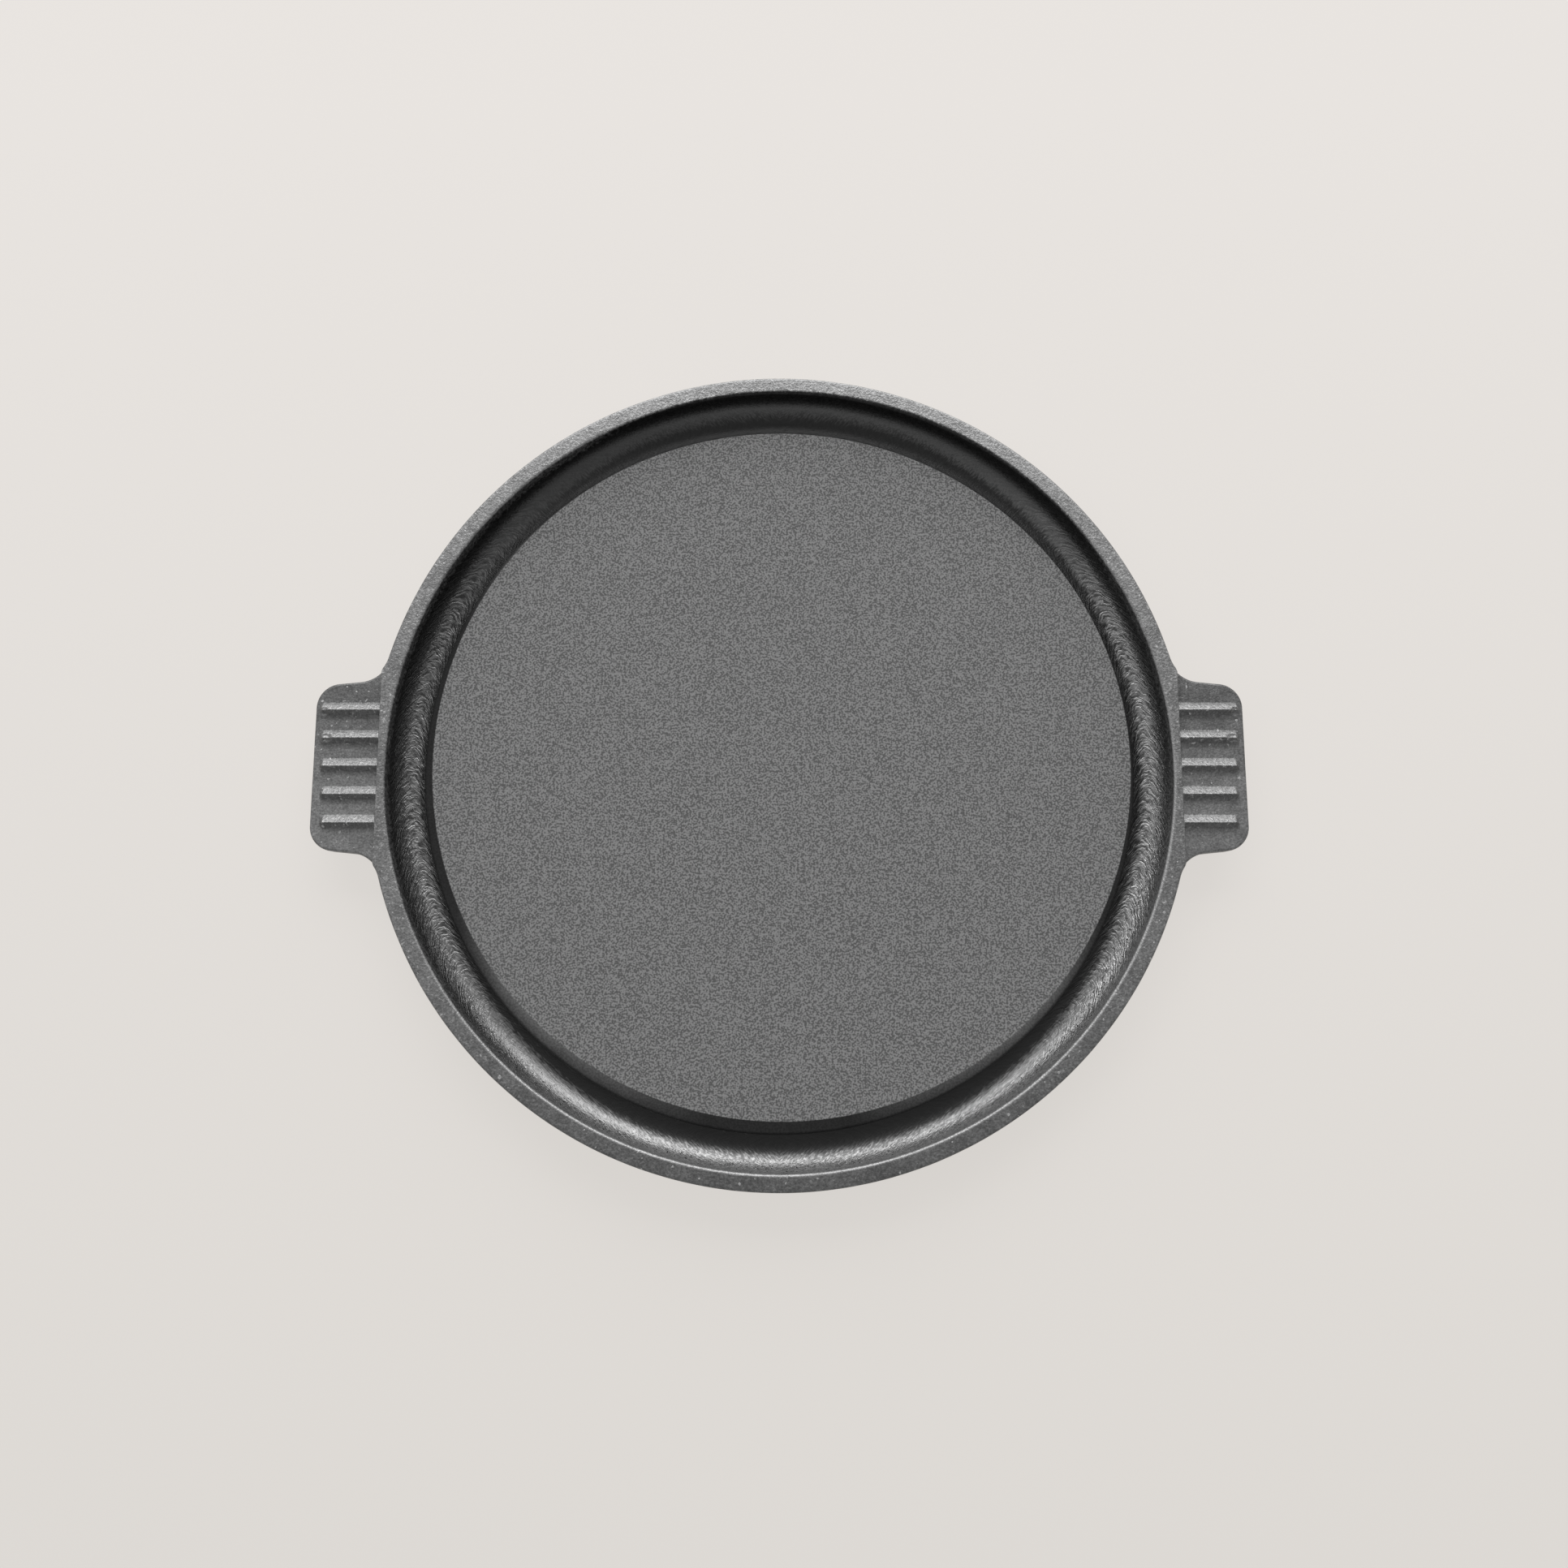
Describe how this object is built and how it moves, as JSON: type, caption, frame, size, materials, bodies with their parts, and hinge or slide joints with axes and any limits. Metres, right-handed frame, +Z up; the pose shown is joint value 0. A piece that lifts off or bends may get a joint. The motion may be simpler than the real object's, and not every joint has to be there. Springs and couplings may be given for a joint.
{
  "type": "griddle plate",
  "caption": "Round cast iron griddle plate: raised flat cooking face, drip gutter, flat-topped rim, low heat ring and ridged tab handles.",
  "frame": {"origin": "on the surface the plate stands on, under the middle of the plate", "axes": "+X through the right handle, +Y across the plate towards the top of the picture, +Z up out of the cooking face"},
  "size_m": [0.3416, 0.3, 0.018],
  "materials": {
    "cast_iron": "rough as-cast skin, seasoned, slightly shiny",
    "gutter_iron": "seasoned black, satin",
    "cooking_iron": "fine grainy, matt",
    "underside_iron": "rough as-cast skin, matt"
  },
  "bodies": {
    "root": {"base_plate": "gutter_iron", "cooking_surface": "cooking_iron", "rim_wall": "cast_iron", "heat_ring": "underside_iron", "right_handle": "cast_iron", "left_handle": "cast_iron"}
  },
  "joints": []
}
